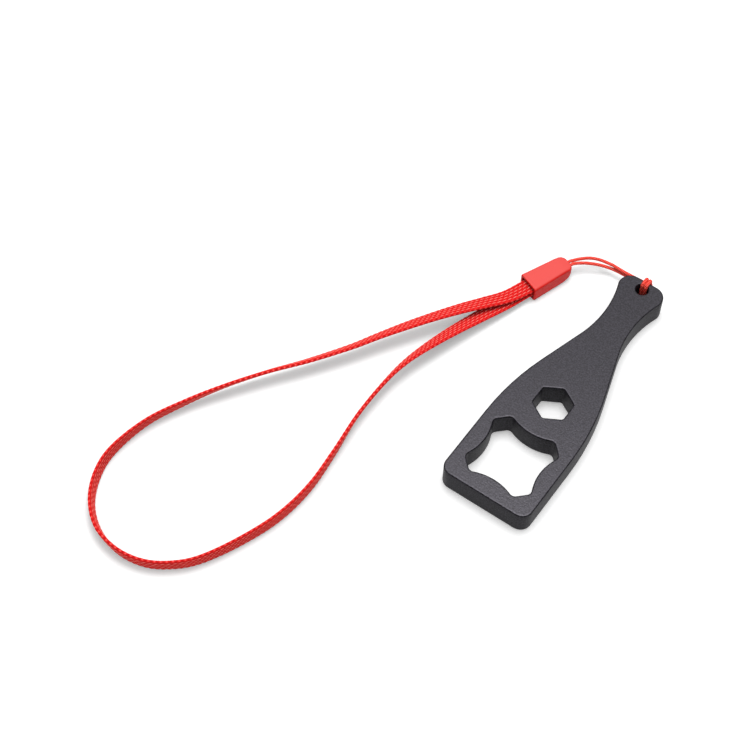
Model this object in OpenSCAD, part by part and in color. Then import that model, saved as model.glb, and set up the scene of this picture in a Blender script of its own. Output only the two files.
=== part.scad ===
// Bottle-shaped opener and nut wrench: a milled plate with a red wrist lanyard hitched to its eye.
// Millimetres. The origin is at the middle of the plate's underside, +Y runs to the eye, +Z is up.

/* [Plate] */
// Length of the plate, base to lip
plate_length = 70; // [66:0.5:80]
// Width of the plate across its straight sides
plate_width = 22.6; // [21.5:0.1:28]
// Thickness of the plate
plate_thickness = 6; // [4:0.1:8]
// Corner radius at the base
base_corner_r = 2.7; // [1:0.1:4]
// Height of the straight sides above the base
side_height = 18.7; // [14:0.1:20]
// Angle of the straight taper between shoulder and neck
taper = 16.8; // [16:0.1:19]
// Width of the neck where it is narrowest
neck_width = 7.9; // [7:0.1:9]
// Distance from the narrowest neck to the lip's end
neck_to_lip = 13.2; // [11:0.1:14]
// Radius of the hollow sides of the neck
neck_r = 28; // [24:1:36]
// Corner radius of the lip
lip_corner_r = 3.1; // [1.5:0.1:3.8]

/* [Openings] */
// Distance from the base to the middle of the knob opening
knob_from_base = 12; // [11.5:0.1:14]
// Width of the knob opening between its bulged sides
knob_width = 14.4; // [12:0.1:15]
// Width of the knob opening between its cut-off corners
knob_diagonal = 20; // [18:0.1:21]
// Radius of the bulged sides
knob_bulge_r = 12; // [10:0.5:20]
// Radius where a bulged side meets a cut-off corner
knob_fillet_r = 1.3; // [0.3:0.1:1.6]
// Distance from the base to the middle of the nut hole
nut_from_base = 28.9; // [27.5:0.1:34]
// Width of the nut hole across its flats
nut_flats = 8; // [6:0.1:9]
// Bore of the lanyard eye
eye_d = 3; // [2.8:0.1:3.4]
// Distance from the lip's end to the middle of the eye
eye_to_lip = 2.5; // [2.3:0.1:3.5]

/* [Loop cord] */
// Diameter of the thin loop cord
cord_d = 0.9; // [0.6:0.05:1]
// Space between two cords that lie side by side
cord_space = 0.1; // [0.05:0.05:0.2]
// Space between a cord and the face that it lies on
seat_gap = 0.03; // [0.02:0.01:0.1]
// Space around the cords in their relief under the lip
relief_gap = 0.2; // [0.1:0.05:0.4]

/* [Ferrule] */
// Length of the ferrule
ferrule_length = 11.8; // [11:0.1:14]
// Width of the ferrule at its mouth
ferrule_width = 5.7; // [5.2:0.1:7]
// Width of the ferrule at its nose
nose_width = 4.5; // [4:0.1:5]
// Corner radius of the nose
nose_corner_r = 1.5; // [1:0.1:1.8]
// Height of the ferrule at its mouth
ferrule_height = 4.4; // [4.1:0.1:6]
// Height of the ferrule's top at its nose
nose_top = 3.9; // [3.8:0.05:4.3]
// Height of the ferrule's underside at its nose
nose_low = 2.3; // [1.5:0.1:2.4]
// Length of the ferrule's level top, from the mouth
level_top = 9; // [7:0.1:10]
// Length of the ferrule's level underside, from the mouth
level_keel = 8.1; // [7.5:0.1:9]
// Thickness of the ferrule's floor and roof
ferrule_wall = 0.6; // [0.4:0.05:0.8]
// Depth of the strap pocket
pocket_depth = 6.5; // [5.5:0.1:7]
// Depth of the knot chamber behind the strap pocket
chamber_depth = 2.8; // [2.6:0.1:3.2]
// Width of the knot chamber
chamber_width = 3; // [2.4:0.1:3.4]
// Clearance at each edge of the strap in its pocket
pocket_gap = 0.25; // [0.1:0.05:0.3]
// Distance of the two cords from the ferrule's middle line
cord_shift = 0.2; // [-0.3:0.1:0.3]
// Length of cord that stands out of the nose
stub_length = 0.3; // [0.1:0.05:0.4]
// Diameter of the stopper knot, pressed flat by the roof and the floor of its chamber
knot_d = 2.2; // [2:0.1:2.3]
// Space above and below the stopper knot
knot_gap = 0.1; // [0.05:0.05:0.12]

/* [Strap] */
// Width of the flat braided strap
strap_width = 4; // [3:0.1:4.2]
// Thickness of the flat braided strap
strap_thickness = 0.8; // [0.6:0.05:1.1]
// Space between the two strap ends in the ferrule
leg_space = 0.3; // [0.1:0.05:0.4]
// Thickness of the sewing thread
thread_d = 0.4; // [0.3:0.05:0.5]
// Distance from the strap's cut ends to the bar tack
tack_inset = 1.6; // [1.2:0.1:3]
// Length of the bar tack across the strap
tack_length = 2.8; // [2:0.1:3]
// Width of the bar tack along the strap
tack_width = 0.8; // [0.6:0.1:1.2]
// Number of stitches in the bar tack
tack_stitches = 4; // [2:1:5]

/* [Hidden] */
anodised_black = "#47464a";
lanyard_red = "#d83434";
ferrule_red = "#e8544e";
// How far a cutting shape or a half shape runs past its edge
over = 1;
$fn = 48;
// Sides of every cord and of the strap, and smooth steps between two route points
cord_sides = 8;
route_steps = 2;

// Plate outline, with its base on y = 0 until it is placed
half_width = plate_width / 2;
neck_y = plate_length - neck_to_lip;
neck_c = [neck_width / 2 + neck_r, neck_y];
neck_start = neck_c - neck_r * [cos(taper), sin(taper)];
// The shoulder's arc runs from the straight side to the taper, as far from where these would meet
shoulder_reach = neck_start.y - (half_width - neck_start.x) / tan(taper) - side_height;
shoulder_r = shoulder_reach / tan(taper / 2);
shoulder_c = [half_width - shoulder_r, side_height];
lip_c = [neck_c.x - sqrt(pow(neck_r + lip_corner_r, 2) - pow(plate_length - lip_corner_r - neck_y, 2)),
         plate_length - lip_corner_r];
lip_turn = atan2(lip_c.y - neck_c.y, lip_c.x - neck_c.x);
base_c = [half_width - base_corner_r, base_corner_r];
arc_steps = 16;

// Knob opening, about its own middle
bulge_at = knob_width / 2 + knob_bulge_r;
corner_at = knob_diagonal / 2;
fillet_reach = knob_bulge_r + knob_fillet_r;
fillet_line = (corner_at - knob_fillet_r) * sqrt(2);
fillet_half = (fillet_line - bulge_at) / 2;
fillet_root = sqrt(pow(fillet_reach, 2) / 2 - pow(fillet_half, 2));
fillet_c = [bulge_at + fillet_half - fillet_root, fillet_half + fillet_root];
bulge_turn = atan2(fillet_c.y, bulge_at - fillet_c.x);

// Places along the plate in the part's frame
base_y = -plate_length / 2;
lip_y = plate_length / 2;
eye_y = lip_y - eye_to_lip;
cord_seat = cord_d / 2 + seat_gap;
cord_side = (cord_d + cord_space) / 2;
eye_reach = sqrt(pow(eye_d / 2 - cord_seat, 2) - pow(cord_side, 2));
relief_width = 2 * cord_side + cord_d + 2 * relief_gap;
relief_depth = cord_d + cord_space;
hitch_z = plate_thickness / 2;

// Ferrule, along its own +Y from the mouth
ferrule_at = [-23, 19.7];
ferrule_turn = -21.2;
nose_c = [nose_width / 2 - nose_corner_r, ferrule_length - nose_corner_r];
mouth_arm = [ferrule_width / 2, 0] - nose_c;
nose_out = atan2(mouth_arm.y, mouth_arm.x) + acos(nose_corner_r / norm(mouth_arm));
nose_side = nose_c + nose_corner_r * [cos(nose_out), sin(nose_out)];
pocket_width = strap_width + 2 * pocket_gap;
pocket_height = ferrule_height - 2 * ferrule_wall;
leg_step = strap_thickness + leg_space;
axis_z = ferrule_height / 2;
nose_run = ferrule_length - level_keel;
keel_turn = 2 * atan2(nose_low, nose_run);
keel_c = [level_keel, nose_run / sin(keel_turn)];
cord_z = (nose_low + nose_top) / 2;
cord_pitch = cord_d + cord_space;
cord_places = [cord_shift - cord_pitch / 2, cord_shift + cord_pitch / 2];
cord_bore = cord_d + 2 * seat_gap;
tack_y = pocket_depth - tack_inset;
knot_y = pocket_depth + chamber_depth / 2;
knot_height = pocket_height - 2 * knot_gap;
stack_half = leg_step / 2 + strap_thickness / 2;

// Free strands of the loop cord, from the ferrule's nose to the hitch
outer_route = [[-18.3, 32.05, 3.1], [-17.1, 33.5, 3.1], [-15.4, 35.1, 3], [-13.2, 36.2, 2.8],
               [-10, 36.5, 3], [-6.6, 36.3, 3.1], [-1.4, 36.2, 3.4]];
inner_route = [[-17.6, 31.4, 3.1], [-16.5, 32.5, 3], [-15, 33.7, 2.8], [-12.5, 35.1, 2.5],
               [-9.7, 36.1, 2.1], [-6.6, 36.3, 2.1], [-1.4, 36.2, 2.4]];
// Bight of the hitch, in front of the lip's end
bight_route = [[-0.5, 35.5, 4.5], [-0.5, 35.9, 3.8], [-0.35, 36.3, 3.2], [0, 36.45, 3],
               [0.35, 36.3, 3.2], [0.5, 35.9, 3.8], [0.5, 35.5, 4.5]];

// Strap from one ferrule end round to the other: x, y, z and the roll of its width, 90 on edge
strap_route = [[-20.8, 25.2, 2.75, 0], [-22.9, 19.7, 2.75, 0], [-25.2, 14.2, 3, 12],
               [-28.3, 9.5, 3.4, 19], [-31.5, 4.8, 3.8, 24], [-35.4, -1.1, 4, 31], [-39.1, -7, 4, 36],
               [-42.8, -13.1, 3.8, 43], [-46.2, -19, 3.6, 47], [-51.9, -27.6, 3.4, 51],
               [-57.7, -35.6, 3.4, 57], [-63.3, -44, 3, 63], [-68.1, -52.3, 2.3, 72],
               [-72, -61.4, 2.1, 80], [-73.5, -71.3, 2.1, 91], [-72.3, -78.3, 2.1, 98],
               [-68.8, -84.5, 2.1, 101], [-63.3, -88.8, 2.1, 106], [-56.7, -90.4, 2.1, 101],
               [-50.4, -89.4, 2.1, 98], [-45.3, -86.3, 2.1, 97], [-41.1, -81.6, 2.1, 95],
               [-36.9, -73.1, 2.1, 92], [-33.8, -63.7, 2.1, 91], [-32.7, -53.8, 2.1, 92],
               [-33.5, -43.3, 2.1, 96], [-34.8, -32.5, 2.4, 106], [-34.8, -22, 2.8, 113],
               [-33.9, -14.9, 3.2, 125], [-32.1, -8.1, 3.3, 139], [-30, -1.3, 3, 151],
               [-27.6, 5.8, 2.4, 162], [-25, 13.2, 1.8, 172], [-22.9, 19.7, 1.65, 180],
               [-20.8, 25.2, 1.65, 180]];

// Points along an arc, from one direction to another
function arc(middle, r, first, last) =
    [for (k = [0:arc_steps]) let (a = first + (last - first) * k / arc_steps) middle + r * [cos(a), sin(a)]];
// An arc that goes on from the last point of the one before
function arc_on(middle, r, first, last) = let (points = arc(middle, r, first, last))
    [for (k = [1:arc_steps]) points[k]];
function turned(p, a) = [p.x * cos(a) - p.y * sin(a), p.x * sin(a) + p.y * cos(a)];
function unit(v) = v / norm(v);
function along(route, i) = unit(route[min(i + 1, len(route) - 1)] - route[max(i - 1, 0)]);
// A point of the smooth curve through a route, at a whole and a part step
function bend(route, i, t) =
    let (last = len(route) - 1, a = route[max(i - 1, 0)], b = route[i], c = route[min(i + 1, last)],
         d = route[min(i + 2, last)])
    b + t / 2 * (c - a + t * (2 * a - 5 * b + 4 * c - d + t * (3 * (b - c) + d - a)));
function smooth_route(route) =
    [for (i = [0:len(route) - 2], k = [0:route_steps - 1]) bend(route, i, k / route_steps),
     route[len(route) - 1]];
// Rings and faces of a tube with flat ends
function round_ring(p, side, up, d) =
    [for (k = [0:cord_sides - 1]) let (a = 360 * k / cord_sides) p + d / 2 * (cos(a) * side + sin(a) * up)];
function strand_ring(p, dir, d) =
    let (side = unit(cross(dir, [0, 0, 1]))) round_ring(p, side, cross(side, dir), d);
// The ring of a wrap stays square to X, so that it never turns over
function wrap_ring(p, dir, d) = round_ring(p, [1, 0, 0], cross([1, 0, 0], dir), d);
function flat_ring(p, dir, roll, w, t) =
    let (level = unit([-dir.y, dir.x, 0]), rise = cross(dir, level),
         wide = cos(roll) * level + sin(roll) * rise, thick = cross(dir, wide))
    [for (k = [0:cord_sides - 1]) let (a = 360 * (k + 0.5) / cord_sides)
        p + strap_edge(cos(a), w) * wide + strap_edge(sin(a), t) * thick];
// The strap's section is an oval squared towards its corners
function strap_edge(share, size) = size / 2 * sign(share) * pow(abs(share), 0.5);
function tube_faces(rings) = let (sides = cord_sides) concat(
    [for (i = [0:rings - 2], k = [0:sides - 1]) each
        let (a = i * sides + k, b = i * sides + (k + 1) % sides)
        [[a, b, b + sides], [a, b + sides, a + sides]]],
    [[for (k = [sides - 1:-1:0]) k]],
    [[for (k = [0:sides - 1]) (rings - 1) * sides + k]]);

module round_tube(route, d) {
    path = smooth_route(route);
    polyhedron([for (i = [0:len(path) - 1]) each strand_ring(path[i], along(path, i), d)],
               tube_faces(len(path)));
}

module wrap_tube(path, d) {
    polyhedron([for (i = [0:len(path) - 1]) each wrap_ring(path[i], along(path, i), d)],
               tube_faces(len(path)));
}

module flat_tube(route, w, t) {
    path = smooth_route(route);
    places = [for (p = path) [p.x, p.y, p.z]];
    polyhedron([for (i = [0:len(path) - 1]) each flat_ring(places[i], along(places, i), path[i][3], w, t)],
               tube_faces(len(path)));
}

module both_sides() {
    children();
    mirror([1, 0, 0]) children();
}

// Right side of the plate from its base to its lip, as arcs joined by straight lines
right_side = concat(arc(base_c, base_corner_r, -90, 0), arc(shoulder_c, shoulder_r, 0, taper),
                    arc(neck_c, neck_r, 180 + taper, lip_turn),
                    arc_on(lip_c, lip_corner_r, lip_turn - 180, 90));
// Right bulge of the knob opening, from the cut-off corner below it to the one above
right_bulge = concat(arc([fillet_c.x, -fillet_c.y], knob_fillet_r, -45, bulge_turn),
                     arc_on([bulge_at, 0], knob_bulge_r, 180 + bulge_turn, 180 - bulge_turn),
                     arc_on(fillet_c, knob_fillet_r, -bulge_turn, 45));

module plate_outline() {
    left_side = [for (k = [len(right_side) - 1:-1:0]) [-right_side[k].x, right_side[k].y]];
    polygon(concat(right_side, left_side));
}

module knob_outline() {
    polygon([for (turn = [0:90:270], p = right_bulge) turned(p, turn)]);
}

module nut_outline() {
    rotate(30) circle(d = nut_flats / cos(30), $fn = 6);
}

module opener_plate() {
    color(anodised_black) difference() {
        translate([0, base_y, 0]) linear_extrude(plate_thickness) plate_outline();
        translate([0, base_y + knob_from_base, -over]) linear_extrude(plate_thickness + 2 * over)
            knob_outline();
        translate([0, base_y + nut_from_base, -over]) linear_extrude(plate_thickness + 2 * over)
            nut_outline();
        translate([0, eye_y, -over]) cylinder(d = eye_d, h = plate_thickness + 2 * over);
        translate([-relief_width / 2, eye_y, -over])
            cube([relief_width, eye_to_lip + over, relief_depth + over]);
    }
}

// The lip's corners that a wrap bends round, seen along X, and the turn of each
wrap_corners = [[[lip_y, plate_thickness], 0], [[eye_y + eye_reach + cord_seat, plate_thickness], 90],
                [[eye_y + eye_reach + cord_seat, relief_depth], 180], [[lip_y, relief_depth], 270]];
// Where a wrap starts under the bight and where it ends behind the strands, in front of the lip
wrap_start_z = hitch_z + cord_d;
wrap_end_z = hitch_z - cord_d / 2;
function wrap_path(side) = concat(
    [[side, lip_y + cord_seat, wrap_start_z]],
    [for (c = wrap_corners, a = [0:30:90])
        [side, c[0][0] + cord_seat * cos(c[1] + a), c[0][1] + cord_seat * sin(c[1] + a)]],
    [[side, lip_y + cord_seat, wrap_end_z]]);

module eye_hitch() {
    color(lanyard_red) {
        wrap_tube(wrap_path(-cord_side), cord_d);
        wrap_tube(wrap_path(cord_side), cord_d);
        round_tube(bight_route, cord_d);
    }
}

module outer_strand() {
    color(lanyard_red) round_tube(outer_route, cord_d);
}

module inner_strand() {
    color(lanyard_red) round_tube(inner_route, cord_d);
}

module at_ferrule() {
    translate(ferrule_at) rotate(ferrule_turn) children();
}

module cord_knot() {
    color(lanyard_red) at_ferrule() {
        for (x = cord_places) translate([x, ferrule_length + stub_length, cord_z])
            rotate([90, 0, 0]) cylinder(d = cord_d, h = ferrule_length + stub_length - knot_y);
        translate([cord_shift, knot_y, ferrule_wall + knot_gap]) cylinder(d = knot_d, h = knot_height);
    }
}

// Right half of the ferrule seen from above, a little past its middle line
module half_ferrule() {
    polygon([[-over / 2, 0], [ferrule_width / 2, 0], nose_side, [nose_c.x, ferrule_length],
             [-over / 2, ferrule_length]]);
    translate(nose_c) circle(nose_corner_r);
}

// Side view of the ferrule: its underside sweeps up to the nose
module ferrule_profile() {
    polygon(concat([[0, 0]], arc(keel_c, keel_c.y, -90, keel_turn - 90),
                   [[ferrule_length, nose_top], [level_top, ferrule_height], [0, ferrule_height]]));
}

module ferrule() {
    color(ferrule_red) at_ferrule() difference() {
        intersection() {
            linear_extrude(ferrule_height) both_sides() half_ferrule();
            rotate([90, 0, 90]) linear_extrude(ferrule_width + over, center = true) ferrule_profile();
        }
        translate([-pocket_width / 2, -over, ferrule_wall])
            cube([pocket_width, pocket_depth + over, pocket_height]);
        translate([cord_shift - chamber_width / 2, pocket_depth - over, ferrule_wall])
            cube([chamber_width, chamber_depth + over, pocket_height]);
        for (x = cord_places) translate([x, ferrule_length + over, cord_z])
            rotate([90, 0, 0]) cylinder(d = cord_bore, h = ferrule_length + over - knot_y);
    }
}

module bar_tack() {
    stitch_step = (tack_length - thread_d) / (tack_stitches - 1);
    color(lanyard_red) at_ferrule() translate([0, tack_y, axis_z]) {
        for (side = [-1, 1]) translate([0, 0, side * (stack_half + thread_d / 2)])
            cube([tack_length, tack_width, thread_d], center = true);
        for (k = [0:tack_stitches - 1]) translate([k * stitch_step - (tack_length - thread_d) / 2, 0, 0])
            cylinder(d = thread_d, h = 2 * stack_half + thread_d, center = true);
    }
}

module wrist_strap() {
    color(lanyard_red) flat_tube(strap_route, strap_width, strap_thickness);
}

opener_plate();
eye_hitch();
outer_strand();
inner_strand();
cord_knot();
ferrule();
bar_tack();
wrist_strap();
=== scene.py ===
"""Looks of a bottle-shaped opener wrench that lies on a pale table with its red wrist lanyard.

Sizes are in millimetres, as on a drawing, and become metres where a mesh is made.
"""

import logging
import math
from dataclasses import dataclass
from enum import Enum

import bpy
import numpy as np
from mathutils import Matrix, Vector
from mathutils.geometry import tessellate_polygon


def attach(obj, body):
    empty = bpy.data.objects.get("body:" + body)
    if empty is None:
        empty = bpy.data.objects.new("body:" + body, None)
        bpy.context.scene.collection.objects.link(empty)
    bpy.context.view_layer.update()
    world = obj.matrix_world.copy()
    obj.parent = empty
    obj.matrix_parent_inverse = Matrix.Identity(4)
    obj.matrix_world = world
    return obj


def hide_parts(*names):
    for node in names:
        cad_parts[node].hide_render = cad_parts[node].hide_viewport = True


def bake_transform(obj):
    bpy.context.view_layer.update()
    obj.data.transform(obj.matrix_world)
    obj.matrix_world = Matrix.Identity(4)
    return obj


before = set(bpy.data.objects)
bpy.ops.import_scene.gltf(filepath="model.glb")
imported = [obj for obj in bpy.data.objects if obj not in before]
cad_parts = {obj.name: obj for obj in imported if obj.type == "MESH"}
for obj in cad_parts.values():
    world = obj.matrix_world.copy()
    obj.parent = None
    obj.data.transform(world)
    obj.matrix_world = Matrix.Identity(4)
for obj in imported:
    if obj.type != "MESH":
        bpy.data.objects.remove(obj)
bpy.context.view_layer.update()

LOG = logging.getLogger("opener_wrench")
MM = 0.001
Point = tuple[float, ...]


class Body(Enum):
    """Bodies of the part that pieces ride on."""

    PLATE = "plate"
    LOOP_CORD = "loop_cord"
    LANYARD = "lanyard"


class Slot(Enum):
    """Material slots of the part's record."""

    PLATE = "anodised_plate"
    CORD = "loop_cord"
    FERRULE = "ferrule_plastic"
    THREAD = "sewing_thread"
    STRAP = "braided_strap"


# Shaders


class NodeBench:
    """Adds nodes to one material and joins them."""

    def __init__(self, name: str) -> None:
        """Makes an empty material with a Principled shader.

        Args:
            name: Name of the material.
        """
        self.material = bpy.data.materials.new(name)
        self.material.use_nodes = True
        self.tree = self.material.node_tree
        self.shader = self.tree.nodes["Principled BSDF"]

    def add(self, kind: str, **values: object) -> bpy.types.Node:
        """Adds a node and sets its properties or its inputs.

        Args:
            kind: Node type without its ShaderNode prefix.
            values: Property or input values, with spaces in input names as underscores.

        Returns:
            The new node.
        """
        node = self.tree.nodes.new("ShaderNode" + kind)
        for name, value in values.items():
            if hasattr(node, name):
                setattr(node, name, value)
            else:
                node.inputs[name.replace("_", " ")].default_value = value
        return node

    def join(self, source: bpy.types.NodeSocket, target: bpy.types.NodeSocket) -> None:
        """Links an output to an input."""
        self.tree.links.new(source, target)

    def surface(self, colour: bpy.types.NodeSocket, roughness: float, gloss: float) -> None:
        """Gives the shader its colour, roughness and gloss."""
        self.join(colour, self.shader.inputs["Base Color"])
        self.shader.inputs["Roughness"].default_value = roughness
        self.shader.inputs["Specular IOR Level"].default_value = gloss

    def noise(self, scale: float, detail: float = 2.0) -> bpy.types.NodeSocket:
        """Adds a noise pattern that follows the piece.

        Args:
            scale: Number of grains in a metre.
            detail: Number of finer layers.

        Returns:
            The noise as a value between 0 and 1.
        """
        texture = self.add("TexNoise", Scale=scale, Detail=detail)
        self.join(self.add("TexCoord").outputs["Object"], texture.inputs["Vector"])
        return texture.outputs["Fac"]

    def ramp(self, factor: bpy.types.NodeSocket, places: Point,
             colours: tuple[Point, ...]) -> bpy.types.NodeSocket:
        """Maps a value to colours.

        Args:
            factor: Value between 0 and 1.
            places: Values at which the colours stand, in order.
            colours: The colours.

        Returns:
            The colour.
        """
        node = self.add("ValToRGB")
        for place in places[1:-1]:
            node.color_ramp.elements.new(place)
        for element, place, colour in zip(node.color_ramp.elements, places, colours):
            element.position = place
            element.color = (*colour, 1.0)
        self.join(factor, node.inputs["Fac"])
        return node.outputs["Color"]

    def upward(self) -> bpy.types.NodeSocket:
        """Gives the upward or downward share of a surface's direction, between 0 and 1."""
        facing = self.add("SeparateXYZ")
        self.join(self.add("NewGeometry").outputs["Normal"], facing.inputs["Vector"])
        size = self.add("Math", operation="ABSOLUTE")
        self.join(facing.outputs["Z"], size.inputs[0])
        return size.outputs["Value"]

    def scaled_onto(self, value: bpy.types.NodeSocket, share: float,
                    base: bpy.types.NodeSocket) -> bpy.types.NodeSocket:
        """Adds a share of one value to another value."""
        node = self.add("Math", operation="MULTIPLY_ADD")
        self.join(value, node.inputs[0])
        node.inputs[1].default_value = share
        self.join(base, node.inputs[2])
        return node.outputs["Value"]

    def bump(self, height: bpy.types.NodeSocket, depth: float, strength: float) -> None:
        """Gives the shader a bump from a height pattern.

        Args:
            height: Pattern between 0 and 1.
            depth: Height of the pattern in metres.
            strength: Share of the bump that shows.
        """
        node = self.add("Bump", Strength=strength, Distance=depth)
        self.join(height, node.inputs["Height"])
        self.join(node.outputs["Normal"], self.shader.inputs["Normal"])


@dataclass(frozen=True)
class AnodisedFinish:
    """Black anodised aluminium over a fine grain."""

    name: str
    gloss: float
    roughness: float
    dark: Point = (0.0005, 0.0005, 0.0008)
    light: Point = (0.022, 0.0205, 0.027)
    # Heights of the grain at which these colours stand
    places: Point = (0.4, 0.6)
    gloss_tint: Point = (0.94, 0.9, 1.0)
    grain_per_metre: float = 2800.0
    grain_depth: float = 0.06 * MM
    grain_strength: float = 0.6

    def material(self) -> bpy.types.Material:
        """Makes the material.

        Returns:
            The finished material.
        """
        bench = NodeBench(self.name)
        speckle = bench.noise(self.grain_per_metre)
        colour = bench.ramp(speckle, self.places, (self.dark, self.light))
        bench.surface(colour, self.roughness, self.gloss)
        bench.shader.inputs["Specular Tint"].default_value = (*self.gloss_tint, 1.0)
        bench.bump(speckle, self.grain_depth, self.grain_strength)
        return bench.material


@dataclass(frozen=True)
class MouldedFinish:
    """Moulded red plastic whose red is painted by the surface's direction: painted shade deepens the
    sides, the rounded edges get a brighter red, and a painted sheen makes the broad upward faces paler.
    """

    name: str
    # Painted light: lit and shaded copies of one red, chosen by how far a surface faces up
    side: Point = (0.74, 0.013, 0.01)
    edge: Point = (0.88, 0.022, 0.017)
    face: Point = (0.85, 0.1, 0.09)
    # Upward shares of a surface's direction at which these colours stand: the painted shade of the sides,
    # the brighter red of the edges and the painted sheen of the upward faces
    places: Point = (0.1, 0.6, 0.97)
    gloss: float = 0.1
    roughness: float = 0.4
    mottle: float = 0.04
    mottle_per_metre: float = 900.0
    mottle_detail: float = 3.0
    skin_per_metre: float = 2600.0
    skin_depth: float = 0.02 * MM
    skin_strength: float = 0.12

    def material(self) -> bpy.types.Material:
        """Makes the material.

        Returns:
            The finished material.
        """
        bench = NodeBench(self.name)
        spots = bench.noise(self.mottle_per_metre, self.mottle_detail)
        # Painted sheen: the more a surface faces up, the paler its red, shifted a little by random spots
        painted_sheen_share = bench.scaled_onto(spots, -self.mottle, bench.upward())
        colour = bench.ramp(painted_sheen_share, self.places, (self.side, self.edge, self.face))
        bench.surface(colour, self.roughness, self.gloss)
        bench.bump(bench.noise(self.skin_per_metre), self.skin_depth, self.skin_strength)
        return bench.material


@dataclass(frozen=True)
class YarnFinish:
    """Red yarn whose colour is deepened by painted shade in the hollows of its braid or lay and paled by a
    painted sheen on its crowns.
    """

    name: str
    painted_shade_hollow: Point
    body: Point
    crown: Point
    # Heights of the braid or lay at which these colours stand, from the painted shade of the hollows to
    # the painted sheen of the crowns
    places: Point = (0.15, 0.55, 1.0)
    roughness: float = 0.62
    gloss: float = 0.05
    fibres_per_metre: float = 9000.0
    fibre_detail: float = 3.0
    fibre_depth: float = 0.04 * MM
    fibre_strength: float = 0.3

    def material(self) -> bpy.types.Material:
        """Makes the material.

        Returns:
            The finished material.
        """
        bench = NodeBench(self.name)
        relief = bench.add("Attribute", attribute_name="relief").outputs["Fac"]
        # Painted shade and sheen: a low braid or lay gets a darker red, a high one a pinker red
        colour = bench.ramp(relief, self.places, (self.painted_shade_hollow, self.body, self.crown))
        bench.surface(colour, self.roughness, self.gloss)
        fibres = bench.noise(self.fibres_per_metre, self.fibre_detail)
        bench.bump(fibres, self.fibre_depth, self.fibre_strength)
        return bench.material


BLASTED_FACE = AnodisedFinish("blasted_face", 0.58, 0.28)
MILLED_WALL = AnodisedFinish("milled_wall", 0.16, 0.5)
MOULDED_SLEEVE = MouldedFinish("moulded_sleeve")
# Colours in order: painted shade for the hollows, the yarn's own red, and a painted sheen for the crowns
STRAP_YARN = YarnFinish("strap_yarn", (0.56, 0.005, 0.007), (0.96, 0.024, 0.021), (1.0, 0.36, 0.31))
CORD_YARN = YarnFinish("cord_yarn", (0.8, 0.016, 0.011), (0.94, 0.045, 0.03), (1.0, 0.19, 0.14))
THREAD_YARN = YarnFinish("thread_yarn", (0.36, 0.01, 0.01), (0.66, 0.03, 0.028), (0.8, 0.06, 0.055))


# Shapes


def smooth_route(points: np.ndarray, steps: int) -> np.ndarray:
    """Runs a smooth curve through a route's points.

    Args:
        points: Points in rows.
        steps: Steps between two points.

    Returns:
        The curve's points in rows.
    """
    padded = np.vstack([points[:1], points, points[-1:]])
    part = np.arange(steps)[:, None] / steps
    rows = []
    for a, b, c, d in zip(padded, padded[1:], padded[2:], padded[3:]):
        rows.append(b + part / 2 * (c - a + part * (2 * a - 5 * b + 4 * c - d
                                                    + part * (3 * (b - c) + d - a))))
    return np.vstack([*rows, points[-1:]])


def even_steps(points: np.ndarray, step: float) -> tuple[np.ndarray, np.ndarray]:
    """Spaces a curve's points evenly along its length.

    Args:
        points: Rows that start with x, y and z.
        step: Distance between two points.

    Returns:
        The new rows and their distances along the curve.
    """
    lengths = np.linalg.norm(np.diff(points[:, :3], axis=0), axis=1)
    along = np.concatenate([[0.0], np.cumsum(lengths)])
    at = np.linspace(0.0, along[-1], int(round(along[-1] / step)) + 1)
    rows = np.stack([np.interp(at, along, points[:, k]) for k in range(points.shape[1])], axis=1)
    return rows, at


def unit(rows: np.ndarray) -> np.ndarray:
    """Scales each row to length one."""
    return rows / np.linalg.norm(rows, axis=-1, keepdims=True)


def add_object(name: str, data: bpy.types.ID) -> bpy.types.Object:
    """Puts a mesh, a lamp or a camera into the scene."""
    made = bpy.data.objects.new(name, data)
    bpy.context.scene.collection.objects.link(made)
    return made


def rings_round(path: np.ndarray, ahead: np.ndarray, side: np.ndarray, radius: np.ndarray) -> np.ndarray:
    """Draws a ring of points round each point of a path.

    Args:
        path: Points in rows.
        ahead: Direction of the path at each point.
        side: Direction, square to the path, in which each ring starts.
        radius: Distance of each ring point from the path, a row for each ring.

    Returns:
        Ring by ring points.
    """
    up = np.cross(ahead, side)
    turn = np.linspace(0.0, 2 * math.pi, radius.shape[1], endpoint=False)[None, :, None]
    spread = np.cos(turn) * side[:, None, :] + np.sin(turn) * up[:, None, :]
    return path[:, None, :] + radius[:, :, None] * spread


def tube_mesh(name: str, rings: np.ndarray, relief: np.ndarray | None = None) -> bpy.types.Object:
    """Makes a closed tube from rings of points.

    Args:
        name: Name of the piece.
        rings: Ring by ring points in millimetres.
        relief: Height of each point between 0 and 1, kept on the mesh for its finish.

    Returns:
        The new piece, shaded smooth.
    """
    count, sides = rings.shape[:2]
    first = np.arange(count - 1)[:, None] * sides
    here = first + np.arange(sides)[None, :]
    there = first + (np.arange(sides)[None, :] + 1) % sides
    quads = np.stack([here, there, there + sides, here + sides], axis=-1).reshape(-1, 4)
    faces = [*quads.tolist(), list(range(sides))[::-1], list(range((count - 1) * sides, count * sides))]
    mesh = bpy.data.meshes.new(name)
    mesh.from_pydata((rings.reshape(-1, 3) * MM).tolist(), [], faces)
    mesh.shade_smooth()
    if relief is not None:
        mesh.attributes.new("relief", "FLOAT", "POINT").data.foreach_set("value", relief.ravel())
    return add_object(name, mesh)


def cut_away(piece: bpy.types.Object, cutter: bpy.types.Object) -> None:
    """Takes one closed mesh out of another, for good.

    Args:
        piece: Piece that is cut.
        cutter: Shape that is taken out and then deleted.
    """
    modifier = piece.modifiers.new("cut", "BOOLEAN")
    modifier.object = cutter
    modifier.solver = "EXACT"
    shown = bpy.context.evaluated_depsgraph_get()
    mesh = bpy.data.meshes.new_from_object(piece.evaluated_get(shown))
    piece.modifiers.clear()
    piece.data = mesh
    bpy.data.objects.remove(cutter)


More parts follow.
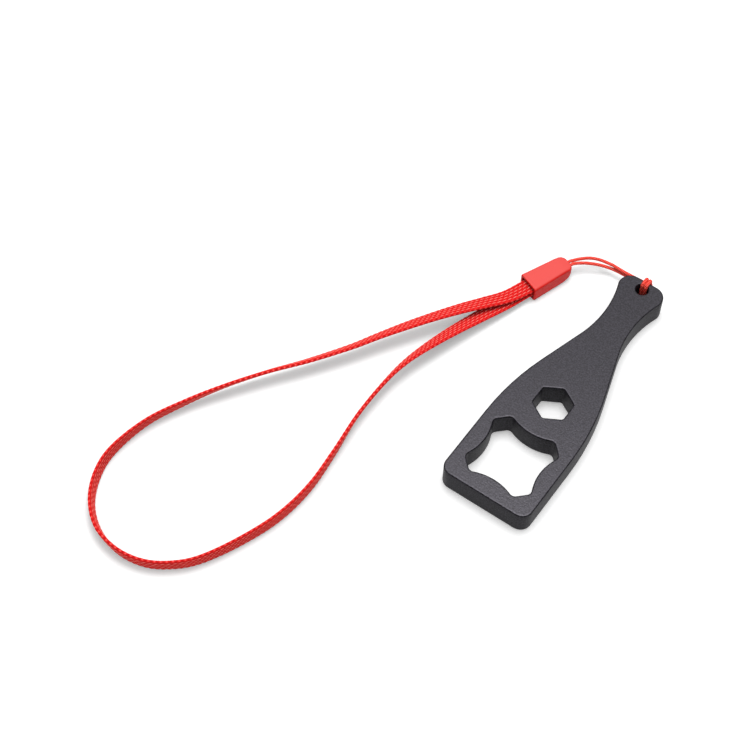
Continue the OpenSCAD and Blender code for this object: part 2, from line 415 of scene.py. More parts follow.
def box_ring(half_width: float, low: float, high: float, y: float, radius: float) -> np.ndarray:
    """Draws an upright rectangle with round corners.

    Args:
        half_width: Half of its width.
        low: Height of its lower edge.
        high: Height of its upper edge.
        y: Its place along y.
        radius: Radius of its corners.

    Returns:
        Points in rows, the same number for any size.
    """
    per_corner, per_side = 7, 6
    corners = [(half_width - radius, high - radius), (radius - half_width, high - radius),
               (radius - half_width, low + radius), (half_width - radius, low + radius)]
    rows = []
    for k, corner in enumerate(corners):
        turn = np.radians(np.linspace(90.0 * k, 90.0 * k + 90.0, per_corner))
        curve = np.array(corner) + radius * np.stack([np.cos(turn), np.sin(turn)], axis=1)
        next_start = np.array(corners[(k + 1) % 4]) + curve[-1] - np.array(corner)
        share = np.linspace(0.0, 1.0, per_side + 1)[1:-1, None]
        rows += [curve, curve[-1] + share * (next_start - curve[-1])]
    flat = np.vstack(rows)
    return np.column_stack([flat[:, 0], np.full(len(flat), y), flat[:, 1]])


# Lanyard


@dataclass
class FerrulePlace:
    """Where the ferrule lies, and where the two strands of the cord pass through its nose."""

    mouth: Point = (-23.0, 19.7)
    turn: float = -21.2
    # Middle of the two strands across the ferrule, half the distance between them, and their height
    bore_middle: float = 0.2
    bore_side: float = 0.5
    bore_z: float = 3.1

    def ahead(self) -> np.ndarray:
        """Gives the direction from the mouth to the nose."""
        angle = math.radians(self.turn)
        return np.array([-math.sin(angle), math.cos(angle), 0.0])

    def at(self, local: np.ndarray) -> np.ndarray:
        """Places points of the ferrule in the part's frame.

        Args:
            local: Points with x across, y from mouth to nose and z up.

        Returns:
            The placed points.
        """
        ahead = self.ahead()
        up = np.array([0.0, 0.0, 1.0])
        across = np.cross(ahead, up)
        origin = np.array([*self.mouth, 0.0])
        return origin + local[..., :1] * across + local[..., 1:2] * ahead + local[..., 2:] * up


@dataclass
class WristStrap:
    """Flat braided strap, folded into a loop with both ends in the ferrule."""

    place: FerrulePlace
    width: float = 4.0
    thickness: float = 0.8
    wales: int = 5
    stitch: float = 1.3
    slant: float = 1.0
    # The back leg stands lower than the raised one, which also paints it darker, as the shaded leg of each
    # stitch
    back_leg: float = 0.6
    yarn_height: float = 0.2
    edge_height: float = 0.06
    # Power of the section's oval, which is 2 for an ellipse
    squareness: float = 4.0
    # Shares of the half width: the end of the even points, the closer points, and the start of the edge
    even_to: float = 0.97
    close_points: Point = (0.985, 0.998)
    edge_from: float = 0.9
    # Shape of a stitch: how round it is along and across, and the height of the hollow beside it
    crown_power: float = 0.8
    round_power: float = 0.5
    hollow_height: float = 0.15
    # Height of the scallops along the edge, and the height that lies on the section itself
    scallop_middle: float = 0.45
    scallop_swing: float = 0.25
    level_height: float = 0.6
    points_per_wale: int = 12
    rings_per_stitch: int = 10
    route_steps: int = 16
    # x, y, z and the roll of the width, 90 on edge, as the part's strap lies
    route: tuple[Point, ...] = (
        (-20.8, 25.2, 2.75, 0), (-22.9, 19.7, 2.75, 0), (-25.2, 14.2, 3, 12), (-28.3, 9.5, 3.4, 19),
        (-31.5, 4.8, 3.8, 24), (-35.4, -1.1, 4, 31), (-39.1, -7, 4, 36), (-42.8, -13.1, 3.8, 43),
        (-46.2, -19, 3.6, 47), (-51.9, -27.6, 3.4, 51), (-57.7, -35.6, 3.4, 57), (-63.3, -44, 3, 63),
        (-68.1, -52.3, 2.3, 72), (-72, -61.4, 2.1, 80), (-73.5, -71.3, 2.1, 91), (-72.3, -78.3, 2.1, 98),
        (-68.8, -84.5, 2.1, 101), (-63.3, -88.8, 2.1, 106), (-56.7, -90.4, 2.1, 101),
        (-50.4, -89.4, 2.1, 98), (-45.3, -86.3, 2.1, 97), (-41.1, -81.6, 2.1, 95),
        (-36.9, -73.1, 2.1, 92), (-33.8, -63.7, 2.1, 91), (-32.7, -53.8, 2.1, 92),
        (-33.5, -43.3, 2.1, 96), (-34.8, -32.5, 2.4, 106), (-34.8, -22, 2.8, 113),
        (-33.9, -14.9, 3.2, 125), (-32.1, -8.1, 3.3, 139), (-30, -1.3, 3, 151), (-27.6, 5.8, 2.4, 162),
        (-25, 13.2, 1.8, 172), (-22.9, 19.7, 1.65, 180), (-20.8, 25.2, 1.65, 180))

    def section(self) -> tuple[np.ndarray, np.ndarray]:
        """Draws the strap's cross section, an oval squared towards its corners.

        Returns:
            Points as rows of width and thickness, and the outward direction of each.
        """
        half = self.width / 2
        inner = np.linspace(-1.0, 1.0, self.wales * self.points_per_wale + 1)[1:-1]
        edge = np.array(self.close_points)
        across = np.concatenate([-edge[::-1], inner[np.abs(inner) < self.even_to], edge])
        rise = np.power(1.0 - np.power(np.abs(across), self.squareness), 1 / self.squareness)
        top = np.stack([half * across, self.thickness / 2 * rise], axis=1)[::-1]
        bottom = np.stack([half * across, -self.thickness / 2 * rise], axis=1)
        tips = np.array([[-half, 0.0]]), np.array([[half, 0.0]])
        loop = np.vstack([tips[1], top, tips[0], bottom])
        ahead = unit(np.roll(loop, -1, axis=0) - np.roll(loop, 1, axis=0))
        return loop, np.stack([ahead[:, 1], -ahead[:, 0]], axis=1)

    def braid(self, across: np.ndarray, face: np.ndarray, along: np.ndarray) -> np.ndarray:
        """Gives the height of the braid, wales of stitches with a raised leg and a lower one.

        Args:
            across: Places across the width.
            face: The side of the strap of each place, 1 or -1.
            along: Distances along the strap.

        Returns:
            Heights between 0 and 1, a row for each distance.
        """
        place = (across / self.width + 0.5) * self.wales
        wale = np.clip(np.floor(place), 0, self.wales - 1)
        raised = (place - wale < 0.5)[None, :]
        from_middle = ((2 * (place - wale)) % 1.0 - 0.5)[None, :]
        lean = np.where(raised, 1.0, -1.0) * face[None, :]
        lead = wale[None, :] / 2 + lean / 4 - self.slant * lean * from_middle
        phase = along[:, None] / self.stitch + lead
        crown = np.power(np.abs(np.sin(math.pi * phase)), self.crown_power)
        rounding = np.power(np.abs(np.cos(math.pi * from_middle)), self.round_power)
        body = rounding * (self.hollow_height + (1 - self.hollow_height) * crown)
        return body * np.where(raised, 1.0, self.back_leg)

    def build(self) -> list[bpy.types.Object]:
        """Returns:
            The strap.
        """
        curve = smooth_route(np.array(self.route), self.route_steps)
        rows, along = even_steps(curve, self.stitch / self.rings_per_stitch)
        path = rows[:, :3]
        ahead = unit(np.gradient(path, axis=0))
        level = unit(np.stack([-ahead[:, 1], ahead[:, 0], np.zeros(len(path))], axis=1))
        upright = np.cross(ahead, level)
        roll = np.radians(rows[:, 3:])
        wide = np.cos(roll) * level + np.sin(roll) * upright
        thick = np.cross(ahead, wide)
        loop, outward = self.section()
        height = self.braid(loop[:, 0], np.where(loop[:, 1] < 0, -1.0, 1.0), along)
        out = np.abs(loop[:, 0]) / (self.width / 2)
        on_edge = np.clip((out - self.edge_from) / (1 - self.edge_from), 0.0, 1.0)[None, :]
        swing = np.cos(2 * math.pi * along / self.stitch)[:, None]
        scallop = self.scallop_middle + self.scallop_swing * swing
        height = height * (1 - on_edge) + scallop * on_edge
        yarn = self.yarn_height * (1 - on_edge) + self.edge_height * on_edge
        lift = yarn * (height - self.level_height)
        flat = loop[None, :, :] + lift[:, :, None] * outward[None, :, :]
        rings = path[:, None, :] + flat[:, :, :1] * wide[:, None, :] + flat[:, :, 1:] * thick[:, None, :]
        # The heights of the braid and the edge scallops go onto the mesh as its relief, which the yarn
        # finish turns into painted shade in the hollows and a painted sheen on the crowns
        strap = tube_mesh("wrist_strap_braid", rings, height)
        strap.data.materials.append(STRAP_YARN.material())
        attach(strap, Body.LANYARD.value)
        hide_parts("wrist_strap")
        leaves = self.place.at(np.array([0.0, 0.0, self.route[0][2]])) * MM
        return [strap]


@dataclass
class LoopCord:
    """Thin laid cord, hitched round the lip through the eye and knotted in the ferrule."""

    place: FerrulePlace
    diameter: float = 0.9
    # Share of its diameter that the cord keeps where it is pulled straight, away from the lip
    pulled: float = 0.88
    pulled_from: float = 1.5
    pulled_at: float = 4.0
    plies: int = 6
    lay: float = 10.0
    ply_depth: float = 0.05
    ply_power: float = 0.7
    sides: int = 24
    step: float = 0.14
    route_steps: int = 8
    # Half the distance between the two wraps, and the distance of a wrap from the lip's faces
    wrap_side: float = 0.45
    seat: float = 0.48
    corner_points: int = 5
    lip_y: float = 35.0
    eye_wall_y: float = 33.869
    top_z: float = 6.0
    relief_z: float = 1.0
    # The two strands as the part's strands lie, from the ferrule's nose to the hitch
    outer_route: tuple[Point, ...] = (
        (-18.3, 32.05, 3.1), (-17.1, 33.5, 3.1), (-15.4, 35.1, 3), (-13.2, 36.2, 2.8), (-10, 36.5, 3),
        (-6.6, 36.3, 3.1), (-1.4, 36.2, 3.4))
    inner_route: tuple[Point, ...] = (
        (-17.6, 31.4, 3.1), (-16.5, 32.5, 3), (-15, 33.7, 2.8), (-12.5, 35.1, 2.5), (-9.7, 36.1, 2.1),
        (-6.6, 36.3, 2.1), (-1.4, 36.2, 2.4))
    # Point of the outer strand, and place across of the inner strand, where the hitch's half ends
    split_point: int = 4
    split_x: float = -10.0
    # Where each strand goes under the bight, and the right half of the bight
    outer_tuck: tuple[Point, ...] = ((-0.8, 35.95, 3.4), (-0.1, 35.62, 3.1), (0.4, 35.5, 2.4))
    inner_tuck: tuple[Point, ...] = ((-0.85, 35.8, 2.3), (-0.5, 35.5, 1.8))
    bight: tuple[Point, ...] = (
        (0.48, 35.75, 4.7), (0.45, 36.2, 3.9), (0.25, 36.5, 3.15), (0.0, 36.55, 2.9))
    # Ends of the bores and of the twisted end, measured from the ferrule's mouth
    bore_ends: Point = (12.2, 10.2)
    twist_from: float = 9.2
    twist_to: float = 6.9
    twist_z: float = 2.5
    twist_turns: float = 1.25
    twist_points: int = 9

    def wrap(self, side: float) -> np.ndarray:
        """Runs one wrap from under the lip, up through the eye and over to the lip's end.

        Args:
            side: Its place across the plate.

        Returns:
            Points in rows.
        """
        corners = [((self.lip_y, self.relief_z), 0), ((self.eye_wall_y, self.relief_z), 270),
                   ((self.eye_wall_y, self.top_z), 180), ((self.lip_y, self.top_z), 90)]
        rows = []
        for (y, z), start in corners:
            for turn in np.radians(np.linspace(start, start - 90, self.corner_points)):
                rows.append((side, y + self.seat * math.cos(turn), z + self.seat * math.sin(turn)))
        return np.array(rows)

    def twisted_end(self) -> np.ndarray:
        """Runs the cord into the ferrule, round its twisted end and out again.

        Returns:
            Points in rows, from the inner strand's bore to the outer strand's bore.
        """
        middle = np.array([self.place.bore_middle, 0.0, 0.0])
        side = self.place.bore_side
        bore = np.array([(side, y, self.place.bore_z) for y in self.bore_ends])
        share = np.linspace(0.0, 1.0, self.twist_points)
        turn = 2 * math.pi * self.twist_turns * share
        twist = np.column_stack([side * np.cos(turn),
                                 self.twist_from + (self.twist_to - self.twist_from) * share,
                                 self.twist_z + side * np.sin(turn)])
        other = np.array([-1.0, 1.0, 1.0])
        back = np.column_stack([-twist[:, 0], twist[:, 1], 2 * self.twist_z - twist[:, 2]])[::-1]
        return self.place.at(middle + np.vstack([bore, twist, back, bore[::-1] * other]))

    def whole_path(self) -> np.ndarray:
        """Runs the whole cord, a closed loop, from the outer strand's middle round the hitch and back.

        Returns:
            Evenly spaced points in rows.
        """
        right = self.wrap(self.wrap_side)
        left = self.wrap(-self.wrap_side)
        bight = np.array(self.bight)
        mirrored = bight[-2::-1] * np.array([-1.0, 1.0, 1.0])
        route = np.vstack([
            self.outer_route[self.split_point:], self.outer_tuck, right, bight, mirrored, left[::-1],
            self.inner_tuck[::-1], self.inner_route[::-1], self.twisted_end(),
            self.outer_route[:self.split_point + 1]])
        return even_steps(smooth_route(route, self.route_steps), self.step)[0]

    def rings(self, path: np.ndarray) -> tuple[np.ndarray, np.ndarray]:
        """Lays the plies round the path.

        Args:
            path: The whole cord's points.

        Returns:
            Ring by ring points, and the height of each between 0 and 1.
        """
        ahead = unit(np.gradient(path, axis=0))
        side = np.zeros_like(path)
        side[0] = unit(np.cross(ahead[0], [0.0, 0.0, 1.0]))
        for k in range(1, len(path)):
            carried = side[k - 1] - ahead[k] * np.dot(side[k - 1], ahead[k])
            side[k] = unit(carried)
        turn = np.linspace(0.0, 2 * math.pi, self.sides, endpoint=False)[None, :]
        twist = 2 * math.pi * self.step * np.arange(len(path))[:, None] / self.lay
        # The plies' height, which the cord's finish also turns into painted shade in the lay and a painted
        # sheen on each ply
        relief = np.abs(np.cos(self.plies / 2 * (turn - twist)))
        past = np.abs(path[:, :1]) - self.pulled_from
        pull = np.clip(past / (self.pulled_at - self.pulled_from), 0.0, 1.0)
        thick = self.diameter / 2 * (1.0 - (1.0 - self.pulled) * pull)
        radius = thick * (1.0 - self.ply_depth + self.ply_depth * np.power(relief, self.ply_power))
        return rings_round(path, ahead, side, radius), relief

    def build(self) -> list[bpy.types.Object]:
        """Makes the hitch's half and the nose's half, which meet at the middle of the strands.

        Returns:
            The two halves.
        """
        path = self.whole_path()
        rings, relief = self.rings(path)
        split = np.flatnonzero(path[:, 0] < self.split_x)[0]
        finish = CORD_YARN.material()
        halves = []
        for name, span in (("hitch_cord", slice(0, split + 1)), ("nose_cord", slice(split, len(path)))):
            piece = tube_mesh(name, rings[span], relief[span])
            piece.data.materials.append(finish)
            halves.append(piece)
        hitch, nose = halves
        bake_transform(hitch)
        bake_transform(nose)
        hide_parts("eye_hitch", "outer_strand")
        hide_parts("inner_strand", "cord_knot")
        return halves


@dataclass
class Ferrule:
    """Moulded sleeve over the joint of strap and cord."""

    place: FerrulePlace
    length: float = 11.8
    width: float = 5.7
    nose_width: float = 4.5
    nose_corner: float = 1.5
    height: float = 4.4
    nose_top: float = 3.9
    nose_low: float = 2.3
    level_top: float = 9.0
    level_keel: float = 8.1
    # Power of the top's fall towards the nose
    droop: float = 1.5
    # Radius of the long edges, and the most of the height that it takes near the nose
    edge: float = 0.6
    edge_share: float = 0.45
    nose_edge: float = 0.35
    rim_edge: float = 0.2
    rim_flat: float = 0.12
    pocket_width: float = 4.5
    pocket_corner: float = 0.35
    wall: float = 0.6
    pocket_depth: float = 6.5
    bore_radius: float = 0.48
    # Ends of the cord's slot, measured from the nose, and the flat left on its round sides
    slot_ends: Point = (1.0, -2.0)
    slot_flat: float = 0.01
    nose_rings: int = 7
    swept_rings: int = 16
    sleeve_rings: int = 6
    rim_rings: int = 6
    pocket_rings: int = 5
    # Angle in degrees between two faces from which their edge stays sharp
    sharp_from: float = 50.0

    def outer_ring(self, y: float, inset: float = 0.0) -> np.ndarray:
        """Draws the ferrule's outside at one place along it.

        Args:
            y: Distance from the mouth.
            inset: How far the ring is drawn in.

        Returns:
            Points with x across, y along and z up.
        """
        half = self.width / 2 - (self.width - self.nose_width) / 2 * y / self.length
        past = max(0.0, y - (self.length - self.nose_corner))
        half -= self.nose_corner - math.sqrt(max(0.0, self.nose_corner**2 - past**2))
        drop = max(0.0, y - self.level_top) / (self.length - self.level_top)
        high = self.height - (self.height - self.nose_top) * drop**self.droop
        run = self.length - self.level_keel
        keel = (run**2 + self.nose_low**2) / (2 * self.nose_low)
        low = keel - math.sqrt(keel**2 - max(0.0, y - self.level_keel)**2)
        end = max(0.0, y - (self.length - self.nose_edge))
        inset += self.nose_edge - math.sqrt(max(0.0, self.nose_edge**2 - end**2))
        radius = min(self.edge, self.edge_share * (high - low) - inset)
        return box_ring(half - inset, low + inset, high - inset, y, radius)

    def pocket_ring(self, y: float, grow: float = 0.0) -> np.ndarray:
        """Draws the strap's pocket at one place along it.

        Args:
            y: Distance from the mouth.
            grow: How far the ring is drawn out.

        Returns:
            Points with x across, y along and z up.
        """
        low, high = self.wall - grow, self.height - self.wall + grow
        return box_ring(self.pocket_width / 2 + grow, low, high, y, self.pocket_corner)

    def slot_rings(self) -> np.ndarray:
        """Draws the slot through which the two strands of the cord leave the nose.

        Returns:
            Ring by ring points with x across, y along and z up.
        """
        half = self.place.bore_side + self.bore_radius
        low, high = self.place.bore_z - self.bore_radius, self.place.bore_z + self.bore_radius
        rings = [box_ring(half, low, high, self.length + end, self.bore_radius - self.slot_flat)
                 for end in self.slot_ends]
        return np.array(rings) + np.array([self.place.bore_middle, 0.0, 0.0])

    def build(self) -> list[bpy.types.Object]:
        """Makes the sleeve with its open mouth and its slot for the cord.

        Returns:
            The ferrule.
        """
        turns = np.radians(np.linspace(90, 0, self.nose_rings))
        nose = self.length - self.nose_edge * (1 - np.sin(turns))
        swept = np.linspace(nose[-1], self.level_keel, self.swept_rings)[1:]
        sleeve = np.linspace(self.level_keel, self.rim_edge, self.sleeve_rings)[1:-1]
        rings = [self.outer_ring(y) for y in [*nose, *swept, *sleeve]]
        for turn in np.radians(np.linspace(0, 90, self.rim_rings)):
            inset = self.rim_edge * (1 - math.cos(turn))
            rings.append(self.outer_ring(self.rim_edge * (1 - math.sin(turn)), inset))
        for turn in np.radians(np.linspace(90, 0, self.pocket_rings)):
            grow = self.rim_flat * (1 - math.cos(turn))
            rings.append(self.pocket_ring(self.rim_flat * (1 - math.sin(turn)), grow))
        rings.append(self.pocket_ring(self.pocket_depth))
        ferrule = tube_mesh("ferrule_sleeve", self.place.at(np.array(rings)))
        cut_away(ferrule, tube_mesh("cord_slot", self.place.at(self.slot_rings())))
        ferrule.data.set_sharp_from_angle(angle=math.radians(self.sharp_from))
        ferrule.data.materials.clear()
        ferrule.data.materials.append(MOULDED_SLEEVE.material())
        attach(ferrule, Body.LANYARD.value)
        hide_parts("ferrule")
        return [ferrule]


@dataclass
class BarTack:
    """Zigzag sewing that joins the two strap ends inside the ferrule."""

    place: FerrulePlace
    from_mouth: float = 4.9
    length: float = 2.8
    width: float = 0.8
    half_height: float = 1.2
    middle_z: float = 2.2
    thread: float = 0.36
    stitches: int = 7
    points_per_stitch: int = 24
    # Power that squares the stitches' rise and fall
    squareness: float = 0.35
    # A direction that no part of the thread follows
    askew: Point = (1.0, 0.3, 0.2)
    step: float = 0.12
    sides: int = 8

    def build(self) -> list[bpy.types.Object]:
        """Makes the thread as one wound tube.

        Returns:
            The bar tack.
        """
        turns = np.linspace(0.0, 2 * math.pi * self.stitches, self.points_per_stitch * self.stitches + 1)
        across = self.length * (turns / turns[-1] - 0.5)
        squared = np.sign(np.sin(turns)) * np.power(np.abs(np.sin(turns)), self.squareness)
        local = np.column_stack([across, self.from_mouth + self.width / 2 * np.cos(turns),
                                 self.middle_z + self.half_height * squared])
        path = even_steps(self.place.at(local), self.step)[0]
        ahead = unit(np.gradient(path, axis=0))
        askew = self.place.at(np.array(self.askew)) - self.place.at(np.zeros(3))
        side = unit(np.cross(ahead, askew))
        radius = np.full((len(path), self.sides), self.thread / 2)
        rings = rings_round(path, ahead, side, radius)
        # A height of one everywhere, so the thread takes its crown colour all over, without painted shade
        # or sheen
        tack = tube_mesh("bar_tack_thread", rings, np.ones(rings.shape[:2]))
        tack.data.materials.append(THREAD_YARN.material())
        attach(tack, Body.LANYARD.value)
        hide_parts("bar_tack")
        return [tack]


# Plate


@dataclass
class OpenerPlate:
    """Bottle-shaped plate with its knob opening, nut hole and lanyard eye."""

    length: float = 70.0
    width: float = 22.6
    thickness: float = 6.0
    base_corner: float = 2.7
    side_height: float = 18.7
    taper: float = 16.8
    neck_width: float = 7.9
    neck_to_lip: float = 13.2
    neck_radius: float = 28.0
    lip_corner: float = 3.1
    knob_from_base: float = 12.0
    knob_width: float = 14.4
    knob_diagonal: float = 20.0
    knob_bulge: float = 12.0
    knob_fillet: float = 1.3
    nut_from_base: float = 28.9
    nut_flats: float = 8.0
    nut_corner: float = 0.7
    eye_diameter: float = 3.0
    eye_to_lip: float = 2.5
    relief_width: float = 2.3
    relief_depth: float = 1.0
    relief_corner: float = 0.15
    # How far the relief's cutter stands out of the plate
    cut_over: float = 1.0
    edge_break: float = 0.32
    edge_margin: float = 0.15
    edge_steps: int = 4
    # Degrees between two points of an arc, and the fewest steps of an arc
    arc_step: float = 3.0
    fewest_steps: int = 4
    # Angle in degrees between two faces from which their edge stays sharp
    sharp_from: float = 40.0
    # Upward share of a face's direction below which it is a wall
    wall_slope: float = 0.95

    def arc(self, middle: Point, radius: float, first: float, last: float) -> list[Point]:
        """Draws an arc.

        Args:
            middle: Its centre.
            radius: Its radius.
            first: Direction of its first point, in degrees.
            last: Direction of its last point, in degrees.

        Returns:
            Points along the arc.
        """
        steps = max(self.fewest_steps, round(abs(last - first) / self.arc_step))
        turns = np.radians(np.linspace(first, last, steps + 1))
        return [(middle[0] + radius * math.cos(a), middle[1] + radius * math.sin(a)) for a in turns]

    def outline(self) -> list[Point]:
        """Draws the plate's outline from its base, on y = 0, to its lip and back.

        Returns:
            Points, anticlockwise.
        """
        half = self.width / 2
        taper = math.radians(self.taper)
        neck = (self.neck_width / 2 + self.neck_radius, self.length - self.neck_to_lip)
        neck_x = neck[0] - self.neck_radius * math.cos(taper)
        neck_y = neck[1] - self.neck_radius * math.sin(taper)
        reach = neck_y - (half - neck_x) / math.tan(taper) - self.side_height
        shoulder = reach / math.tan(taper / 2)
        lip_y = self.length - self.lip_corner
        lip_x = neck[0] - math.sqrt((self.neck_radius + self.lip_corner)**2 - (lip_y - neck[1])**2)
        lip_turn = math.degrees(math.atan2(lip_y - neck[1], lip_x - neck[0]))
        right = [*self.arc((half - self.base_corner, self.base_corner), self.base_corner, -90, 0),
                 *self.arc((half - shoulder, self.side_height), shoulder, 0, self.taper),
                 *self.arc(neck, self.neck_radius, 180 + self.taper, lip_turn),
                 *self.arc((lip_x, lip_y), self.lip_corner, lip_turn - 180, 90)[1:]]
        return [*right, *[(-x, y) for x, y in right[::-1]]]

    def knob_outline(self) -> list[Point]:
        """Draws the knob opening: four bulged sides between four cut-off corners.

        Returns:
            Points about its middle, anticlockwise.
        """
        bulge_at = self.knob_width / 2 + self.knob_bulge
        reach = self.knob_bulge + self.knob_fillet
        line = (self.knob_diagonal / 2 - self.knob_fillet) * math.sqrt(2)
        half = (line - bulge_at) / 2
        root = math.sqrt(reach**2 / 2 - half**2)
        fillet = (bulge_at + half - root, half + root)
        on_bulge = math.degrees(math.atan2(-fillet[1], bulge_at - fillet[0]))
        side = [*self.arc((fillet[0], -fillet[1]), self.knob_fillet, -45, -on_bulge),
                *self.arc((bulge_at, 0.0), self.knob_bulge, 180 - on_bulge, 180 + on_bulge)[1:-1],
                *self.arc(fillet, self.knob_fillet, on_bulge, 45)]
        loop = []
        for turn in np.radians([0, 90, 180, 270]):
            loop += [(x * math.cos(turn) - y * math.sin(turn), x * math.sin(turn) + y * math.cos(turn))
                     for x, y in side]
        return loop

    def nut_outline(self) -> list[Point]:
        """Draws the nut hole, a hexagon with round corners, two of them on the plate's long axis.

        Returns:
            Points about its middle, anticlockwise.
        """
        back = (self.nut_flats / 2 - self.nut_corner) / math.cos(math.radians(30))
        loop = []
        for turn in range(30, 390, 60):
            middle = (back * math.cos(math.radians(turn)), back * math.sin(math.radians(turn)))
            loop += self.arc(middle, self.nut_corner, turn - 30, turn + 30)
        return loop

    def loops(self) -> list[np.ndarray]:
        """Draws every outline in the part's frame, with the metal on its left.

        Returns:
            The outside and then the three openings.
        """
        base = np.array([0.0, -self.length / 2])
        # Half a step round, so that no point of the eye meets the middle line of the relief
        half_step = self.arc_step / 2
        eye = self.arc((0.0, 0.0), self.eye_diameter / 2, half_step, half_step + 360)[:-1]
        places = [(self.knob_outline(), self.knob_from_base), (self.nut_outline(), self.nut_from_base),
                  (eye, self.length - self.eye_to_lip)]
        holes = [np.array(loop)[::-1] + base + [0.0, y] for loop, y in places]
        return [np.array(self.outline()) + base, *holes]

    def drawn_in(self, loop: np.ndarray, depth: float) -> np.ndarray:
        """Moves an outline into the metal.

        Args:
            loop: Outline with the metal on its left.
            depth: Distance that it moves.

        Returns:
            The moved outline.
        """
        ahead = unit(np.roll(loop, -1, axis=0) - loop)
        left = np.stack([-ahead[:, 1], ahead[:, 0]], axis=1)
        before = np.roll(left, 1, axis=0)
        corner = 1.0 + (left * before).sum(axis=1, keepdims=True)
        return loop + depth * (left + before) / corner

    def edge_profile(self) -> list[Point]:
        """Draws the broken edges of a wall, from the underside to the top face.

        Returns:
            Depths into the metal, with their heights.
        """
        turns = np.radians(np.linspace(0, 90, self.edge_steps + 1))
        low = [(self.edge_break + self.edge_margin, 0.0)]
        low += [(self.edge_break * (1 - math.sin(a)), self.edge_break * (1 - math.cos(a))) for a in turns]
        return [*low, *[(inset, self.thickness - z) for inset, z in low[::-1]]]

    def shell(self) -> bpy.types.Object:
        """Makes the plate with its openings and its broken edges.

        Returns:
            The plate, without the relief.
        """
        profile = self.edge_profile()
        points, faces, caps = [], [], ([], [])
        for loop in self.loops():
            count, first = len(loop), len(points)
            for inset, z in profile:
                points += [(x, y, z) for x, y in self.drawn_in(loop, inset)]
            for ring in range(len(profile) - 1):
                row = first + ring * count
                faces += [(row + k, row + (k + 1) % count, row + count + (k + 1) % count, row + count + k)
                          for k in range(count)]
            caps[0].append(list(range(first, first + count)))
            caps[1].append(list(range(first + (len(profile) - 1) * count, first + len(profile) * count)))
        for cap, flip in zip(caps, (True, False)):
            ids = [i for loop in cap for i in loop]
            for a, b, c in tessellate_polygon([[Vector(points[i]) for i in loop] for loop in cap]):
                faces.append((ids[c], ids[b], ids[a]) if flip else (ids[a], ids[b], ids[c]))
        mesh = bpy.data.meshes.new("opener_plate_milled")
        mesh.from_pydata((np.array(points) * MM).tolist(), [], faces)
        return add_object("opener_plate_milled", mesh)

    def build(self) -> list[bpy.types.Object]:
        """Makes the plate with the relief under its lip, and parts its faces from its walls.

        Returns:
            The plate.
        """
        plate = self.shell()
        lip_y = self.length / 2
        relief = [box_ring(self.relief_width / 2, -self.cut_over, self.relief_depth, y, self.relief_corner)
                  for y in (lip_y + self.cut_over, lip_y - self.eye_to_lip)]
        cut_away(plate, tube_mesh("relief", np.array(relief)))
        plate.data.shade_smooth()
        plate.data.set_sharp_from_angle(angle=math.radians(self.sharp_from))
        plate.data.materials.clear()
        plate.data.materials.append(BLASTED_FACE.material())
        plate.data.materials.append(MILLED_WALL.material())
        for face in plate.data.polygons:
            face.material_index = int(abs(face.normal.z) < self.wall_slope)
        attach(plate, Body.PLATE.value)
        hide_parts("opener_plate")
        return [plate]


# Studio


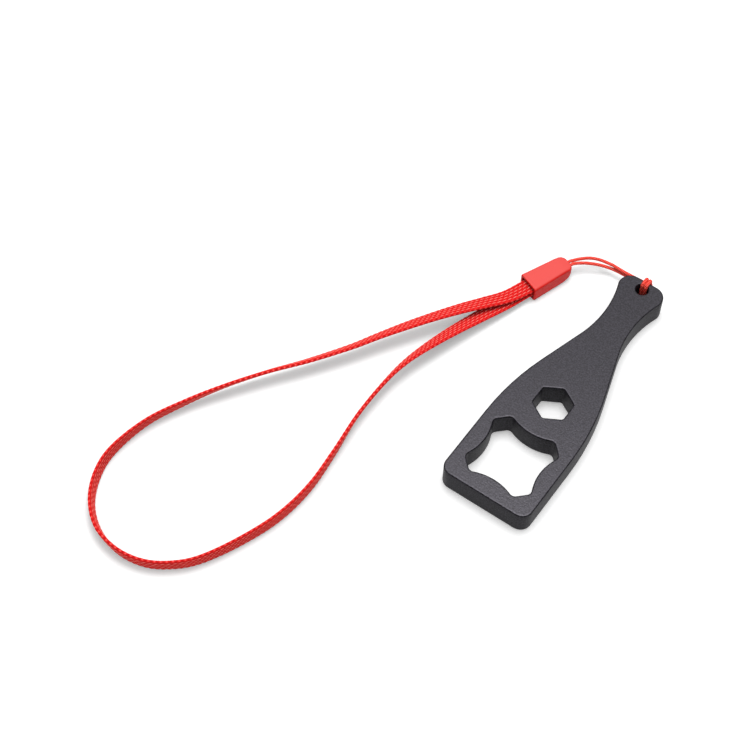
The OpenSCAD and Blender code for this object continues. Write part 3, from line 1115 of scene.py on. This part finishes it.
@dataclass
class Studio:
    """Pale table, soft lights and the camera."""

    camera_at: Point = (97.97, -230.94, 385.44)
    camera_right: Point = (0.818149, 0.574483, 0.0245275)
    camera_up: Point = (-0.49258, 0.67822, 0.54533)
    sensor: float = 36.0
    focal_pixels: float = 2015.16
    frame_pixels: float = 750.0
    half_pixel: float = 0.5
    clip_start: float = 10.0
    table_half: float = 1500.0
    # The table lies this far under the plate, so that their faces don't fall together
    table_gap: float = 0.03
    table_colour: Point = (0.93, 0.93, 0.93)
    table_roughness: float = 0.8
    table_gloss: float = 0.1
    # Light that the table adds where it is seen, and not where it lights the part
    table_white: float = 0.24
    # Height of a direction above the level, 1 straight up, and the light that comes from there
    sky: tuple[Point, ...] = ((0.0, 0.1), (0.5, 0.25), (0.75, 1.0), (1.0, 1.0))
    key_at: Point = (-83.0, 158.0, 916.0)
    key_size: float = 420.0
    key_power: float = 4.0
    key_aim: Point = (-25.0, -20.0, 0.0)
    diffuse_bounces: int = 1

    def camera(self) -> bpy.types.Object:
        """Makes the camera where the photograph was taken from.

        Returns:
            The camera.
        """
        data = bpy.data.cameras.new("camera")
        data.sensor_width = self.sensor
        data.lens = self.sensor * self.focal_pixels / self.frame_pixels
        data.shift_x = -self.half_pixel / self.frame_pixels
        data.shift_y = self.half_pixel / self.frame_pixels
        data.clip_start = self.clip_start * MM
        right = Vector(self.camera_right).normalized()
        up = Vector(self.camera_up)
        up = (up - right * up.dot(right)).normalized()
        turn = Matrix((right, up, right.cross(up))).transposed().to_4x4()
        camera = add_object("camera", data)
        camera.matrix_world = Matrix.Translation(Vector(self.camera_at) * MM) @ turn
        bpy.context.scene.camera = camera
        return camera

    def table(self) -> bpy.types.Object:
        """Makes the pale table top.

        Returns:
            The table top.
        """
        half = self.table_half * MM
        low = -self.table_gap * MM
        mesh = bpy.data.meshes.new("table")
        corners = [(-half, -half, low), (half, -half, low), (half, half, low), (-half, half, low)]
        mesh.from_pydata(corners, [], [(0, 1, 2, 3)])
        table = add_object("table", mesh)
        bench = NodeBench("white_table")
        bench.shader.inputs["Base Color"].default_value = (*self.table_colour, 1.0)
        bench.shader.inputs["Roughness"].default_value = self.table_roughness
        bench.shader.inputs["Specular IOR Level"].default_value = self.table_gloss
        paths = bench.add("LightPath")
        seen = paths.outputs["Is Camera Ray"]
        for ray in ("Is Glossy Ray", "Is Transmission Ray"):
            either = bench.add("Math", operation="MAXIMUM")
            bench.join(seen, either.inputs[0])
            bench.join(paths.outputs[ray], either.inputs[1])
            seen = either.outputs["Value"]
        share = bench.add("Math", operation="MULTIPLY")
        share.inputs[1].default_value = self.table_white
        bench.join(seen, share.inputs[0])
        bench.shader.inputs["Emission Color"].default_value = (1.0, 1.0, 1.0, 1.0)
        bench.join(share.outputs["Value"], bench.shader.inputs["Emission Strength"])
        mesh.materials.append(bench.material)
        return table

    def key_light(self) -> bpy.types.Object:
        """Hangs a soft square lamp high behind the part.

        Returns:
            The lamp.
        """
        data = bpy.data.lights.new("key", "AREA")
        data.size = self.key_size * MM
        data.energy = self.key_power
        lamp = add_object("key", data)
        lamp.location = Vector(self.key_at) * MM
        beam = Vector(self.key_aim) * MM - lamp.location
        lamp.rotation_euler = beam.to_track_quat("-Z", "Y").to_euler()
        return lamp

    def sky_light(self) -> None:
        """Lights the table from above, less so from near the level."""
        world = bpy.data.worlds.new("room")
        world.use_nodes = True
        nodes, links = world.node_tree.nodes, world.node_tree.links
        direction = nodes.new("ShaderNodeTexCoord").outputs["Generated"]
        parts = nodes.new("ShaderNodeSeparateXYZ")
        links.new(direction, parts.inputs["Vector"])
        ramp = nodes.new("ShaderNodeValToRGB")
        for height, _ in self.sky[1:-1]:
            ramp.color_ramp.elements.new(height)
        for element, (height, light) in zip(ramp.color_ramp.elements, self.sky):
            element.position = height
            element.color = (light, light, light, 1.0)
        links.new(parts.outputs["Z"], ramp.inputs["Fac"])
        links.new(ramp.outputs["Color"], nodes["Background"].inputs["Color"])
        bpy.context.scene.world = world
        bpy.context.scene.cycles.diffuse_bounces = self.diffuse_bounces


def main() -> None:
    """Builds the scene piece by piece and reports each piece."""
    logging.basicConfig(level=logging.INFO, format="%(name)s: %(message)s")
    bpy.context.scene.view_settings.view_transform = "Standard"
    studio = Studio()
    studio.camera()
    place = FerrulePlace()
    for maker in (LoopCord(place), WristStrap(place), Ferrule(place), BarTack(place), OpenerPlate()):
        for piece in maker.build():
            LOG.info("%s has %d faces", piece.name, len(piece.data.polygons))
    studio.table()
    studio.sky_light()
    studio.key_light()


if __name__ == "__main__":
    main()
